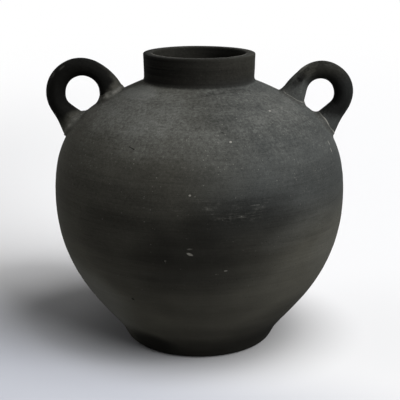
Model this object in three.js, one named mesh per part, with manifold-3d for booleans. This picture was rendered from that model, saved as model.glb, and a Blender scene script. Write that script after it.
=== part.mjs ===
// A two-handled clay vase in millimetres, +Z up, standing on z = 0 with its axis on the origin.
// It is made the potter's way, from separately formed pieces that are luted together before firing:
// a foot ring, two bowls that meet in a stepped joint at the widest line, a neck collar, two pulled
// loop handles in shallow seats, and the coils of clay that seal the neck and the handle roots.
import * as THREE from "three";
import { mergeVertices } from "three/addons/utils/BufferGeometryUtils.js";
import Module from "manifold-3d";

const wasm = await Module();
wasm.setup();

// Clay walls and the gap that stands for the layer of slip between two curved faces
const wallThickness = 8;
const floorThickness = 10;
const clearance = 0.3;

// Foot ring: a cone with a rounded lower edge, hollow underneath
const footBaseRadius = 74.7;
const footTopRadius = 82.9;
const footHeight = 15.6;
const footEdgeRound = 6;
const footBoreRadius = 58;
const underfloorRecess = 7;

// Lower bowl: leaves the foot at an angle and rises until its wall is upright at the widest line
const lowerBowlHeight = 143;
const bellyRadius = 148.6;
const footFlareAngle = 55.4;
const footFlarePull = 33.8;
const lowerBellyPull = 80.1;
const floorCornerRise = 4;
const floorCornerRun = 6;

// Upper bowl: closes in from the widest line to the slope that meets the neck
const shoulderHeight = 113.4;
const upperBellyPull = 64.1;
const shoulderSlopeAngle = 22.3;
const shoulderPull = 69.1;
const mouthLipThickness = 5;
const mouthLipRun = 3;

// Neck collar
const neckHeight = 28;
const neckRadius = 55.8;
const rimRadius = 56.7;
const mouthRadius = 47.1;
const rimOuterRound = 1.5;
const rimInnerRound = 1;

// Stepped joints at the belly and under the neck, and the coil round the foot of the neck
const bellyTongueHeight = 5;
const neckTongueHeight = 3;
const neckLutingRise = 4;
const neckLutingRun = 6;
const neckLutingEdge = 0.6;

// Handle seats, and the coils of clay round the handle roots
const seatDepth = 1.5;
const rootReach = 14;
const swellCurve = 1.5;
const lutingHeight = 6;
const lutingEdge = 1;
const lutingSpread = 3;

// Each handle is a loop that stands off from the shoulder at seatRadius. The turns are the angles, from
// the line square on the shoulder there, at which the loop ends and a leg runs straight down to its root.
// A leg swells towards its root by a different amount on the outside and the inside of the loop.
const leftHandle = {
  seatRadius: 109.1,
  standOff: 17.9,
  loopRadius: 26.4,
  thickness: 18.7,
  width: 24,
  sideSwell: 4,
  upper: { turn: 118.8, outerSwell: 9, innerSwell: 0, swellHeight: 30.4 },
  lower: { turn: 95.3, outerSwell: 6, innerSwell: 5.3, swellHeight: 22.9 },
};
const rightHandle = {
  seatRadius: 111.3,
  standOff: 20.1,
  loopRadius: 23.3,
  thickness: 18.6,
  width: 24,
  sideSwell: 4,
  upper: { turn: 115.2, outerSwell: 14.5, innerSwell: 0, swellHeight: 24.7 },
  lower: { turn: 96.7, outerSwell: 6.7, innerSwell: 3, swellHeight: 23.8 },
};

// Fineness of the faceted surfaces
const turnedSides = 56;
const bowlSteps = 13;
const cornerSteps = 4;
const handleSides = 16;
const handleRingSpacing = 5;
const bisections = 40;

// Fired clay, and the slip of the luted coils, which dries a little paler
const clayColour = "#3b3a38";
const slipColour = "#474541";
const clayRoughness = 0.88;

// Heights that follow from the sizes above
const bellyZ = footHeight + lowerBowlHeight;
const neckZ = bellyZ + shoulderHeight;
const rimZ = neckZ + neckHeight;

const at = (radius, height) => new THREE.Vector2(radius, height);
const toRadians = THREE.MathUtils.degToRad;

function polar(angle, length) {
  return at(Math.cos(angle) * length, Math.sin(angle) * length);
}

// The outlines run upwards, so that the clay is on their left and the air on their right.
const lowerOutline = new THREE.CubicBezierCurve(
  at(footTopRadius, footHeight),
  at(footTopRadius, footHeight).add(polar(toRadians(footFlareAngle), footFlarePull)),
  at(bellyRadius, bellyZ - lowerBellyPull),
  at(bellyRadius, bellyZ),
);
const upperOutline = new THREE.CubicBezierCurve(
  at(bellyRadius, bellyZ),
  at(bellyRadius, bellyZ + upperBellyPull),
  at(neckRadius, neckZ).add(polar(toRadians(-shoulderSlopeAngle), shoulderPull)),
  at(neckRadius, neckZ),
);

function outwardNormal(outline, parameter) {
  const tangent = outline.getTangent(parameter);
  return at(tangent.y, -tangent.x);
}

// Points of an outline moved square to it, outwards by a positive distance or into the clay by a negative one.
function offsetPoints(outline, distance) {
  const points = [];
  for (let step = 0; step <= bowlSteps; step += 1) {
    const parameter = step / bowlSteps;
    const point = outline.getPoint(parameter);
    points.push(point.addScaledVector(outwardNormal(outline, parameter), distance));
  }
  return points;
}

// The value between low and high at which isPast turns from false to true.
function turningPoint(low, high, isPast) {
  let before = low;
  let after = high;
  for (let round = 0; round < bisections; round += 1) {
    const middle = (before + after) / 2;
    if (isPast(middle)) {
      after = middle;
    } else {
      before = middle;
    }
  }
  return (before + after) / 2;
}

// The spot on the shoulder at a given distance from the axis, with the direction square to the clay there.
function shoulderAt(radius) {
  const parameter = turningPoint(0, 1, (value) => upperOutline.getPoint(value).x < radius);
  return { point: upperOutline.getPoint(parameter), normal: outwardNormal(upperOutline, parameter) };
}

// How far a point lies above the shoulder's clay, measured square to it. Inside the clay it is negative.
function heightAboveShoulder(point) {
  const parameter = turningPoint(0, 1, (value) => upperOutline.getPoint(value).y > point.y);
  const level = point.x - upperOutline.getPoint(parameter).x;
  return level * outwardNormal(upperOutline, parameter).x;
}

function arcPoints(centre, radius, fromDegrees, toDegrees) {
  const arc = new THREE.EllipseCurve(
    centre.x,
    centre.y,
    radius,
    radius,
    toRadians(fromDegrees),
    toRadians(toDegrees),
    toDegrees < fromDegrees,
  );
  return arc.getPoints(cornerSteps);
}

// A profile that runs anticlockwise round the clay, turned about the vase's axis.
function turned(profile) {
  const startsOnAxis = profile[0].x === 0;
  const outline = startsOnAxis ? profile : [...profile, profile[0]];
  return new THREE.LatheGeometry(outline, turnedSides).rotateX(Math.PI / 2);
}

function solidFrom(geometry) {
  const bare = geometry.clone();
  bare.deleteAttribute("normal");
  bare.deleteAttribute("uv");
  const merged = mergeVertices(bare);
  return new wasm.Manifold(
    new wasm.Mesh({
      numProp: 3,
      vertProperties: new Float32Array(merged.getAttribute("position").array),
      triVerts: new Uint32Array(merged.index.array),
    }),
  );
}

function geometryFrom(solid) {
  const mesh = solid.getMesh();
  const geometry = new THREE.BufferGeometry();
  geometry.setAttribute("position", new THREE.BufferAttribute(mesh.vertProperties, 3));
  geometry.setIndex(new THREE.BufferAttribute(mesh.triVerts, 1));
  geometry.computeVertexNormals();
  return geometry;
}

function clayMesh(name, geometry, colour) {
  const material = new THREE.MeshStandardMaterial({ color: colour, roughness: clayRoughness, metalness: 0 });
  const mesh = new THREE.Mesh(geometry, material);
  mesh.name = name;
  return mesh;
}

// The outer surface leans out from base to top, and its lower edge is rounded off.
function footRing() {
  const edge = arcPoints(at(0, footEdgeRound), footEdgeRound, -90, 0);
  const lean = (footTopRadius - footBaseRadius) / footHeight;
  const roundedEdge = edge.map((point) =>
    at(footBaseRadius + lean * point.y - footEdgeRound + point.x, point.y),
  );
  return turned([
    at(footBoreRadius, 0),
    ...roundedEdge,
    at(footTopRadius, footHeight),
    at(footBoreRadius, footHeight),
  ]);
}

// A low boss under the floor centres the foot ring, and a tongue on the inner half of the rim centres
// the upper bowl.
function lowerBowl() {
  const bossRadius = footBoreRadius - clearance;
  const floorTop = underfloorRecess + floorThickness;
  const tongueRadius = bellyRadius - (wallThickness + clearance) / 2;
  const tongueTop = bellyZ + bellyTongueHeight;
  const inside = offsetPoints(lowerOutline, -wallThickness)
    .reverse()
    .filter((point) => point.y > floorTop + floorCornerRise);
  const [previous, last] = inside.slice(-2);
  const fall = last.clone().sub(previous);
  const corner = last.clone().addScaledVector(fall, (floorTop - last.y) / fall.y);
  const floorEdge = corner.clone().sub(at(floorCornerRun, 0));
  const roundedCorner = new THREE.QuadraticBezierCurve(last, corner, floorEdge).getPoints(cornerSteps);
  return turned([
    at(0, underfloorRecess),
    at(bossRadius, underfloorRecess),
    at(bossRadius, footHeight),
    ...offsetPoints(lowerOutline, 0),
    at(tongueRadius, bellyZ),
    at(tongueRadius, tongueTop),
    at(bellyRadius - wallThickness, tongueTop),
    ...inside,
    ...roundedCorner.slice(1),
    at(0, floorTop),
  ]);
}

// The rim of the shoulder half drops over the lower bowl's tongue, and its mouth carries the neck's spigot.
function upperBowlBlank() {
  const rebateRadius = bellyRadius - (wallThickness - clearance) / 2;
  const rebateTop = bellyZ + bellyTongueHeight + clearance;
  const spigotRadius = (neckRadius + mouthRadius - clearance) / 2;
  const spigotTop = neckZ + neckTongueHeight;
  const inside = offsetPoints(upperOutline, -wallThickness)
    .reverse()
    .filter((point) => point.x > mouthRadius + mouthLipRun && point.y > rebateTop + wallThickness / 2);
  return turned([
    at(rebateRadius, bellyZ),
    ...offsetPoints(upperOutline, 0),
    at(spigotRadius, neckZ),
    at(spigotRadius, spigotTop),
    at(mouthRadius, spigotTop),
    at(mouthRadius, neckZ - mouthLipThickness),
    ...inside,
    at(bellyRadius - wallThickness, rebateTop),
    at(rebateRadius, rebateTop),
  ]);
}

// A flat-topped rim with softened edges, over a socket for the spigot.
function neckCollar() {
  const socketRadius = (neckRadius + mouthRadius + clearance) / 2;
  const socketTop = neckZ + neckTongueHeight + clearance;
  const outerRound = at(rimRadius - rimOuterRound, rimZ - rimOuterRound);
  const innerRound = at(mouthRadius + rimInnerRound, rimZ - rimInnerRound);
  return turned([
    at(socketRadius, neckZ),
    at(neckRadius, neckZ),
    ...arcPoints(outerRound, rimOuterRound, 0, 90),
    ...arcPoints(innerRound, rimInnerRound, 90, 180),
    at(mouthRadius, socketTop),
    at(socketRadius, socketTop),
  ]);
}

// A ring of clay in the corner between neck and shoulder, with a hollow face.
function neckLuting() {
  const topZ = neckZ + neckLutingRise;
  const neckRadiusThere = THREE.MathUtils.lerp(neckRadius, rimRadius, neckLutingRise / neckHeight);
  const inner = at(neckRadius + clearance, neckZ + clearance);
  const top = at(neckRadiusThere + clearance, topZ);
  const shoulder = shoulderAt(neckRadius + neckLutingRun);
  const low = shoulder.point.clone().addScaledVector(shoulder.normal, clearance);
  const lowFace = low.clone().addScaledVector(shoulder.normal, neckLutingEdge);
  const topFace = at(top.x + neckLutingEdge, topZ);
  const hollow = at(topFace.x, inner.y + neckLutingEdge);
  const face = new THREE.QuadraticBezierCurve(lowFace, hollow, topFace).getPoints(cornerSteps);
  return turned([inner, low, ...face, top]);
}

// The whole of the shoulder half as a plug without a cavity, its surface moved outwards or inwards.
function shoulderPlug(distance) {
  const surface = offsetPoints(upperOutline, distance);
  const [base, top] = [surface[0].y, surface.at(-1).y];
  return solidFrom(turned([at(0, base), ...surface, at(0, top)]));
}

// A handle's centre line in the plane through the axis, from deep under the upper root, round the loop,
// to deep under the lower root, with the lengths along it at which it passes through the shoulder.
function handleLine(handle) {
  const seat = shoulderAt(handle.seatRadius);
  const centre = seat.point.clone().addScaledVector(seat.normal, handle.standOff);
  const squareAngle = seat.normal.angle();
  const upperAngle = squareAngle + toRadians(handle.upper.turn);
  const lowerAngle = squareAngle - toRadians(handle.lower.turn);
  const upperBend = centre.clone().add(polar(upperAngle, handle.loopRadius));
  const lowerBend = centre.clone().add(polar(lowerAngle, handle.loopRadius));
  const legLength = handle.standOff + rootReach;
  const upperEnd = upperBend.clone().add(polar(upperAngle + Math.PI / 2, legLength));
  const lowerEnd = lowerBend.clone().add(polar(lowerAngle - Math.PI / 2, legLength));
  const path = new THREE.Path();
  path.moveTo(upperEnd.x, upperEnd.y);
  path.lineTo(upperBend.x, upperBend.y);
  path.absarc(centre.x, centre.y, handle.loopRadius, upperAngle, lowerAngle, true);
  path.lineTo(lowerEnd.x, lowerEnd.y);
  const length = path.getLength();
  const isInClay = (along) => heightAboveShoulder(path.getPoint(along / length)) < 0;
  const upperRoot = turningPoint(0, legLength, (along) => !isInClay(along));
  const lowerRoot = turningPoint(length - legLength, length, isInClay);
  return { path, length, upperRoot, lowerRoot };
}

// Falls from 1 at a root, and below it, to 0 at a reach above it, in a hollow curve.
function fade(height, reach) {
  return (1 - THREE.MathUtils.clamp(height / reach, 0, 1)) ** swellCurve;
}

// A closed oval bar along part of a handle's centre line. growthAt says how much is added all round,
// as a function of the height above the shoulder.
function handleBar(handle, line, from, to, growthAt) {
  const { upper, lower } = handle;
  const rings = Math.ceil((to - from) / handleRingSpacing);
  const geometry = new THREE.CylinderGeometry(1, 1, 1, handleSides, rings);
  const position = geometry.getAttribute("position");
  for (let index = 0; index < position.count; index += 1) {
    const along = THREE.MathUtils.lerp(from, to, position.getY(index) + 1 / 2);
    const centre = line.path.getPoint(along / line.length);
    const tangent = line.path.getTangent(along / line.length);
    const outward = at(-tangent.y, tangent.x);
    const upperFade = fade(along - line.upperRoot, upper.swellHeight);
    const lowerFade = fade(line.lowerRoot - along, lower.swellHeight);
    const outerSwell = upper.outerSwell * upperFade + lower.outerSwell * lowerFade;
    const innerSwell = upper.innerSwell * upperFade + lower.innerSwell * lowerFade;
    const depth = handle.thickness / 2 + (position.getX(index) > 0 ? outerSwell : innerSwell);
    const halfWidth = handle.width / 2 + handle.sideSwell * (upperFade + lowerFade);
    const skin = centre.clone().addScaledVector(outward, position.getX(index) * depth);
    const fromAxis = at(Math.hypot(skin.x, position.getZ(index) * halfWidth), skin.y);
    const growth = growthAt(heightAboveShoulder(fromAxis));
    const grown = skin.addScaledVector(outward, position.getX(index) * growth);
    position.setXYZ(index, grown.x, position.getZ(index) * (halfWidth + growth), grown.y);
  }
  return solidFrom(geometry);
}

// A handle with the luted coils at its roots, and the pocket that its roots need in the shoulder.
function handleSolids(handle) {
  const line = handleLine(handle);
  const seatFloor = shoulderPlug(-seatDepth);
  const rootFace = shoulderPlug(clearance - seatDepth);
  const clayFace = shoulderPlug(clearance);
  const coilTop = shoulderPlug(lutingHeight);
  const bar = handleBar(handle, line, 0, line.length, () => 0);
  const clearedBar = handleBar(handle, line, 0, line.length, () => clearance);
  const coilGrowth = (height) => lutingEdge + lutingSpread * fade(height, lutingHeight);
  const coilReach = lutingHeight + rootReach;
  const upperCoil = handleBar(handle, line, 0, line.upperRoot + coilReach, coilGrowth);
  const lowerCoil = handleBar(handle, line, line.lowerRoot - coilReach, line.length, coilGrowth);
  return {
    handle: bar.subtract(rootFace),
    pocket: clearedBar.subtract(seatFloor),
    upperLuting: upperCoil.intersect(coilTop).subtract(clearedBar).subtract(clayFace),
    lowerLuting: lowerCoil.intersect(coilTop).subtract(clearedBar).subtract(clayFace),
  };
}

// One side of the vase: its handle and the coils at the handle's roots.
function handleGroup(side, solids) {
  const group = new THREE.Group();
  group.add(clayMesh(`handle_${side}`, geometryFrom(solids.handle), clayColour));
  group.add(clayMesh(`handle_${side}_upper_luting`, geometryFrom(solids.upperLuting), slipColour));
  group.add(clayMesh(`handle_${side}_lower_luting`, geometryFrom(solids.lowerLuting), slipColour));
  return group;
}

const leftSolids = handleSolids(leftHandle);
const rightSolids = handleSolids(rightHandle);
const upperBowl = solidFrom(upperBowlBlank())
  .subtract(leftSolids.pocket.rotate([0, 0, 180]))
  .subtract(rightSolids.pocket);

const vase = new THREE.Group();
vase.name = "two_handled_vase";
vase.add(clayMesh("foot_ring", footRing(), clayColour));
vase.add(clayMesh("lower_bowl", lowerBowl(), clayColour));
vase.add(clayMesh("upper_bowl", geometryFrom(upperBowl), clayColour));
vase.add(clayMesh("neck_collar", neckCollar(), clayColour));
vase.add(clayMesh("neck_luting", neckLuting(), slipColour));

const leftSide = handleGroup("left", leftSolids);
leftSide.rotation.z = Math.PI;
vase.add(leftSide);
vase.add(handleGroup("right", rightSolids));

export default vase;
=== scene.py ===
"""A charcoal clay vase with two loop handles: its finished surfaces round the packed frame, and a plain studio.

The file is laid out as a Blender add-on and runs as a script. Lengths are in metres, +Z is up along the
vase's axis and the vase stands on z = 0. The photograph was taken from -Y.
"""
import math

import bpy
import numpy as np
from bpy.props import FloatProperty, FloatVectorProperty, IntProperty, PointerProperty
from bpy.types import Operator, Panel, PropertyGroup
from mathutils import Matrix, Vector


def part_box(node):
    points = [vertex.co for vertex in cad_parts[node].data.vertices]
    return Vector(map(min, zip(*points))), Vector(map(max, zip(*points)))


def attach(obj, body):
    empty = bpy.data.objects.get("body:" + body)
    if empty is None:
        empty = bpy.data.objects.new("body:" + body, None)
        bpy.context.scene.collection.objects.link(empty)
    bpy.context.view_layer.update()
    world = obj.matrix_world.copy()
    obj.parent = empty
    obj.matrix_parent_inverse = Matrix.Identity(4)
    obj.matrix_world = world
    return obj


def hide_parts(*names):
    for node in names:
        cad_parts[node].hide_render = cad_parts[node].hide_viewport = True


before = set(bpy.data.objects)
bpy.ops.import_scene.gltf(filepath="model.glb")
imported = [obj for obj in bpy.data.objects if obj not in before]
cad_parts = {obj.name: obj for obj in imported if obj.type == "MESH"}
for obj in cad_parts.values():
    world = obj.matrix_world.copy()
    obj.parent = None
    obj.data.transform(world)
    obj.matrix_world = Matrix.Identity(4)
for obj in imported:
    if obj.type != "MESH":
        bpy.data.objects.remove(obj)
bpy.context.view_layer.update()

bl_info = {
    "name": "Charcoal clay vase",
    "version": (1, 0, 0),
    "blender": (4, 5, 0),
    "location": "View3D > Sidebar > Vase",
    "description": "Dresses the packed vase with thrown and pulled clay surfaces and sets up a plain studio",
    "category": "Object",
}

FOOT_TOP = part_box("foot_ring")[1].z
BELLY_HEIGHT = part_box("upper_bowl")[0].z
NECK_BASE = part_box("neck_collar")[0].z
RIM_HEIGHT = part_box("neck_collar")[1].z
BODY_NODES = ("foot_ring", "lower_bowl", "upper_bowl", "neck_collar", "neck_luting")


# ---- Sizes and colours that a user would change ----

def length(name, description, default, precision=4):
    return FloatProperty(name=name, description=description, default=default, unit="LENGTH", precision=precision)


def angle(name, description, degrees):
    return FloatProperty(name=name, description=description, default=math.radians(degrees), subtype="ANGLE")


def number(name, description, default):
    return FloatProperty(name=name, description=description, default=default, precision=3)


def colour(name, description, default):
    return FloatVectorProperty(name=name, description=description, default=default, subtype="COLOR",
                               size=3, min=0.0, max=1.0)


class BodySizes(PropertyGroup):
    """Sizes of the thrown body."""
    wall: length("Wall", "Thickness of the bowls' wall", 0.008)
    floor: length("Floor", "Thickness of the floor", 0.010)
    foot_base: length("Foot base", "Radius of the foot ring where it stands", 0.0747)
    foot_top: length("Foot top", "Radius at which the bowl leaves the foot ring", 0.0829)
    foot_edge: length("Foot edge", "Rounding of the foot ring's lower edge", 0.006)
    foot_bore: length("Foot bore", "Inner radius of the foot ring", 0.058)
    recess: length("Recess", "Height of the hollow under the floor", 0.007)
    belly: length("Belly", "Radius at the widest line", 0.1486)
    flare_angle: angle("Foot flare", "Slope at which the lower bowl leaves the foot", 55.4)
    flare_pull: length("Flare pull", "How far the bowl keeps the slope of the foot flare", 0.0338)
    lower_pull: length("Lower belly pull", "How far the lower bowl stays upright at the belly", 0.0801)
    upper_pull: length("Upper belly pull", "How far the upper bowl stays upright at the belly", 0.0641)
    shoulder_slope: angle("Shoulder slope", "Slope at which the shoulder meets the neck", 22.3)
    shoulder_pull: length("Shoulder pull", "How far the shoulder keeps its slope", 0.0691)
    neck: length("Neck", "Outer radius at the base of the neck", 0.0558)
    rim: length("Rim", "Outer radius of the rim", 0.0567)
    mouth: length("Mouth", "Inner radius of the mouth", 0.0471)
    neck_hollow: length("Neck hollow", "Reach of the hollow curve between neck and shoulder", 0.0046)
    rim_edge: length("Rim edge", "Softening of the rim's edges", 0.0016)
    around: IntProperty(name="Steps around", description="Facets round the turned surface", default=256)
    throwing: length("Throwing ridges", "Height of the ridges outside", 0.00022, 5)
    finger_rings: length("Finger rings", "Height of the spiral rings inside", 0.0006, 5)
    ring_pitch: length("Ring pitch", "Climb of the inner spiral in one turn", 0.009)
    seed: IntProperty(name="Seed", description="Seed of the uneven surface", default=7)


# A handle's settings: kind, key, the left handle's value, the right one's, description
HANDLE_ROWS = (
    (length, "seat_radius", 0.1091, 0.1113, "Distance from the axis to the middle of the seat"),
    (length, "stand_off", 0.0174, 0.0201, "Height of the loop's centre above the shoulder"),
    (length, "loop_radius", 0.0267, 0.0233, "Radius of the centre line's bend"),
    (length, "thickness", 0.0187, 0.0186, "Thickness of the bar in the loop's plane"),
    (length, "width", 0.024, 0.024, "Width of the bar across the loop's plane"),
    (length, "side_swell", 0.004, 0.004, "Growth of each side towards a root"),
    (length, "plump", 0.0008, 0.0006, "Growth of each face where the loop is farthest out, and loss at its top"),
    (length, "elbow", -0.0011, -0.0008, "Growth of each face where the bend passes into the lower leg"),
    (length, "smoke_reach", 0.018, 0.0185, "Height over the clay at which the smoke is full"),
    (number, "smoke_lean", 1.0, 0.0, "How far the soot leans to the inside above and to the outside below"),
    (number, "soot", 0.97, 0.76, "How dark the smoke left the loop"),
    # On a loop the pale film is partly chalk and partly painted light on its upper faces
    (number, "chalk", 0.5, 1.1, "How strong the pale film and the specks are"),
    (number, "clean", 0.0, 0.17, "Share of the length, from the upper root, that the smoke left clean"),
    (number, "coil_soot", 0.25, 0.1, "How dark the smoke left the coils' upper edge"),
    # The coils' ridge is pale from rubbing and from a painted highlight where the lip stands proud
    (number, "ridge", 0.34, 0.03, "Place of the coils' ridge, from 0 at the handle to 1 on the shoulder"),
    (number, "ridge_width", 0.22, 0.07, "Half width of the ridge, as a share of the coil"),
    (number, "ridge_pale", 0.34, 1.3, "How pale the coils' ridge is rubbed"),
)
# The same for what both ends have: the values are those of the upper end, then those of the lower one
HANDLE_ENDS = (
    (angle, "turn", (118.8, 115.2), (95.3, 96.7), "Bend from the middle of the loop to the {} leg"),
    (length, "outer", (0.0099, 0.0145), (0.005, 0.0067), "Growth of the outside at the {} root"),
    (length, "inner", (0.0007, 0.0), (0.004, 0.0012), "Growth of the inside at the {} root"),
    (length, "reach", (0.0304, 0.0247), (0.0229, 0.0238), "Height at which the {} swell ends"),
    (length, "lip", (0.0012, 0.0004), (0.0013, 0.0005), "Height of the smeared edge of the {} coil"),
    (length, "climb", (0.0056, 0.0026), (0.0036, 0.0024), "How far the {} coil climbs up the handle"),
    (length, "under", (0.0062, 0.0048), (0.0034, 0.005), "Climb of the {} coil on the loop's inner side"),
    (length, "spread", (0.006, 0.0046), (0.0052, 0.005), "How far the {} coil spreads over the shoulder"),
)


def handle_group(side):
    """A property group for one handle, whose defaults are that handle's own values."""
    ends = [(kind, f"{end}_{key}", *values, description.format(end))
            for kind, key, *pairs, description in HANDLE_ENDS for end, values in zip(("upper", "lower"), pairs)]
    fields = {key: kind(key.replace("_", " ").capitalize(), description, left if side == "left" else right)
              for kind, key, left, right, description in (*HANDLE_ROWS, *ends)}
    return type(f"{side.title()}HandleSizes", (PropertyGroup,), {
        "__doc__": f"Sizes of the {side} handle.", "__annotations__": fields,
    })


LeftHandleSizes = handle_group("left")
RightHandleSizes = handle_group("right")


class FinishSettings(PropertyGroup):
    """Colours of the fired clay."""
    warm: colour("Warm clay", "Olive-brown tone of the fired clay", (0.047, 0.046, 0.039))
    cool: colour("Cool clay", "Blue-grey tone of the fired clay", (0.040, 0.0425, 0.0415))
    # The soot colour also paints shade: the neck's left side, clouds on the foot and the belly, and the coils'
    # groove
    soot: colour("Soot", "Darkest clouds from the firing", (0.0035, 0.0035, 0.0033))
    # This pale film is partly chalk and partly painted light, on faces that look up
    dust: colour("Chalk", "Pale chalky film on faces that look up", (0.095, 0.097, 0.090))
    # Grit's pale colour also paints highlights: on the rim's near inner edge, the coils' ridge and the loops'
    # streaks
    grit: colour("Grit", "Pale grains in the clay", (0.22, 0.215, 0.195))
    slip: colour("Slip", "Smeared clay of the luted joints", (0.046, 0.046, 0.042))
    index: FloatProperty(name="Index", description="Refractive index of the matt clay", default=1.05, min=1.0)


class StageSettings(PropertyGroup):
    """Camera, floor and lamps."""
    camera_distance: length("Camera distance", "From the vase's axis to the camera, along the floor", 1.0301)
    camera_height: length("Camera height", "Height of the camera above the floor", 0.4244)
    camera_pitch: angle("Camera pitch", "How far the camera looks down", 15.13)
    focal: number("Focal length", "Lens in millimetres on a 36 mm sensor", 91.82)
    shift: FloatProperty(name="Shift", description="Sideways shift of the frame", default=0.00175, precision=5)
    floor: colour("Floor", "Pale floor", (0.82, 0.82, 0.83))
    dim_floor: colour("Dim floor", "Floor near the camera, towards the left", (0.515, 0.53, 0.58))
    bounce: colour("Bounce", "Floor as the vase is lit by it", (0.42, 0.41, 0.39))
    contact: number("Contact shade", "Depth of the shade round the foot", 0.60)
    far_shade: number("Far shade", "Depth of the shade on the floor's far left", 0.16)
    room: number("Room light", "Level of the light from all round", 0.065)
    key: number("Key light", "Level of the soft light from the right front", 1.11)
    high: number("High light", "Level of the soft light from high on the right", 0.58)
    fill: number("Fill light", "Level of the weak light from the left, near the floor", 0.35)


# ---- Node trees written as sums ----

class Link:
    """A node's output that stands in Python expressions. Each operation adds the node that it needs."""

    def __init__(self, tree, socket):
        self.tree = tree
        self.socket = socket

    def out(self, name):
        """Another output of the same node."""
        return Link(self.tree, self.socket.node.outputs[name])

    def __add__(self, other):
        return calculate("ADD", self, other)

    __radd__ = __add__

    def __mul__(self, other):
        return calculate("MULTIPLY", self, other)

    __rmul__ = __mul__

    def __sub__(self, other):
        return calculate("SUBTRACT", self, other)

    def __rsub__(self, other):
        return calculate("SUBTRACT", other, self)

    def __truediv__(self, other):
        return calculate("DIVIDE", self, other)

    def rising(self, low, high):
        """0 below low, 1 above high, with a soft rise between them. A high under low makes it fall."""
        return add_node(self.tree, "ShaderNodeMapRange", {"Value": self, "From Min": low, "From Max": high},
                        interpolation_type="SMOOTHSTEP")

    def within(self, low, start, end, high):
        """0 outside low and high, 1 between start and end."""
        return self.rising(low, start) * self.rising(high, end)

    def vector(self, operation, other=None, output="Vector"):
        """Vector Math on this vector, and on a second one where the operation takes two."""
        values = {0: self} if other is None else {0: self, 1: other}
        return add_node(self.tree, "ShaderNodeVectorMath", values, output, operation=operation)

    def stretched(self, x, y, z):
        return self.vector("MULTIPLY", (x, y, z))

    def scaled(self, factor):
        return add_node(self.tree, "ShaderNodeVectorMath", {0: self, "Scale": factor}, operation="SCALE")

    def parts(self):
        """The X, Y and Z parts of this vector."""
        split = add_node(self.tree, "ShaderNodeSeparateXYZ", {0: self})
        return split.out("X"), split.out("Y"), split.out("Z")

    def covered(self, factor, cover):
        """This colour, with another one over it as far as the factor says."""
        return mixed(self.tree, factor, self, cover)


def add_node(tree, kind, values=None, output=0, **settings):
    """Adds one node: its settings first, then the values or links of its sockets."""
    node = tree.nodes.new(kind)
    for key, value in settings.items():
        setattr(node, key, value)
    for key, value in (values or {}).items():
        if isinstance(value, Link):
            tree.links.new(value.socket, node.inputs[key])
        else:
            node.inputs[key].default_value = value
    return Link(tree, node.outputs[output])


def calculate(operation, *values):
    """A Math node on links and numbers."""
    tree = next(value.tree for value in values if isinstance(value, Link))
    return add_node(tree, "ShaderNodeMath", dict(enumerate(values)), operation=operation)


def mixed(tree, factor, first, second):
    """Colour first where the factor is 0, second where it is 1."""
    first, second = (tint if isinstance(tint, Link) else (*tint, 1.0) for tint in (first, second))
    return add_node(tree, "ShaderNodeMix", {0: factor, 6: first, 7: second}, 2, data_type="RGBA")


def noise(place, scale=1.0, detail=2.0, roughness=0.5):
    """A noise pattern that swings round 0."""
    values = {"Vector": place, "Scale": scale, "Detail": detail, "Roughness": roughness}
    return add_node(place.tree, "ShaderNodeTexNoise", values) - 0.5


def attribute(tree, name, output="Fac"):
    return add_node(tree, "ShaderNodeAttribute", output=output, attribute_name=name)


def emptied_tree(holder):
    """The node tree of a new material or world, without its first nodes."""
    holder.use_nodes = True
    holder.node_tree.nodes.clear()
    return holder.node_tree


def show(shader, output_kind):
    """Ends a material's or a world's tree with a shader."""
    shader.tree.links.new(shader.socket, shader.tree.nodes.new(output_kind).inputs["Surface"])


# ---- Clay ----

# Clouds of soot and of chalk on the body: strength, turn from the front in degrees (to the right), height, length
# and breadth in millimetres. Where they differ from the usual, the tilt in degrees and the edge follow, which is the
# share over which the cloud fades. Some are painted light: the dark clouds on the foot's left face and on the left
# of the belly are painted shade, and the pale clouds low on the left and beside the neck on the left are painted
# light
SMOKE_AND_SHADE = (
    (0.68, 8, 136, 145, 86, 14, 0.85), (0.3, -2, 131, 85, 40), (0.2, -52, 180, 170, 90, 5),
    (0.4, 57, 38, 120, 64, 10), (0.4, -30, 136, 100, 62), (0.25, 4, 80, 130, 60), (0.27, -12, 198, 100, 52),
    (0.75, -36, 14, 50, 26, 0, 0.8), (0.3, -2, 16, 110, 26), (0.18, 22, 48, 130, 50), (0.22, 6, 158, 60, 30),
    (0.5, 24, 269.2, 52, 8, 4, 0.7), (0.28, -27, 94, 70, 28), (0.26, -28, 168, 80, 30), (0.22, 4, 32, 90, 36),
    (0.2, -8, 121, 130, 34), (0.28, -4, 151, 60, 22), (0.16, 36, 152, 60, 30, 8), (0.21, 22, 178, 64, 17, 5),
    (0.18, 55, 60, 80, 32, 6), (0.12, 3, 86, 50, 26), (0.14, -46, 193, 80, 22), (0.16, 50, 143, 60, 20, 6),
    (0.16, 6, 174, 90, 22, 2),
)
CHALK_AND_LIGHT = (
    (0.4, -42, 256, 110, 70), (0.7, -60, 266, 50, 24), (0.2, 38, 146, 80, 30, 16), (0.68, -63, 61, 120, 92),
    (0.1, -16, 107, 200, 16, 3), (0.12, 24, 212, 110, 30, 4), (0.09, 20, 104, 120, 14, 6, 0.8),
    (0.22, 56, 258, 100, 50), (0.24, -12, 235, 110, 44), (0.1, -36, 86, 70, 40), (0.28, 61, 116, 70, 64),
    (0.07, 22, 138, 70, 22, 6), (0.16, 42, 243, 90, 30), (0.18, -62, 36, 50, 30), (0.1, 34, 40, 60, 24),
)
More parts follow.
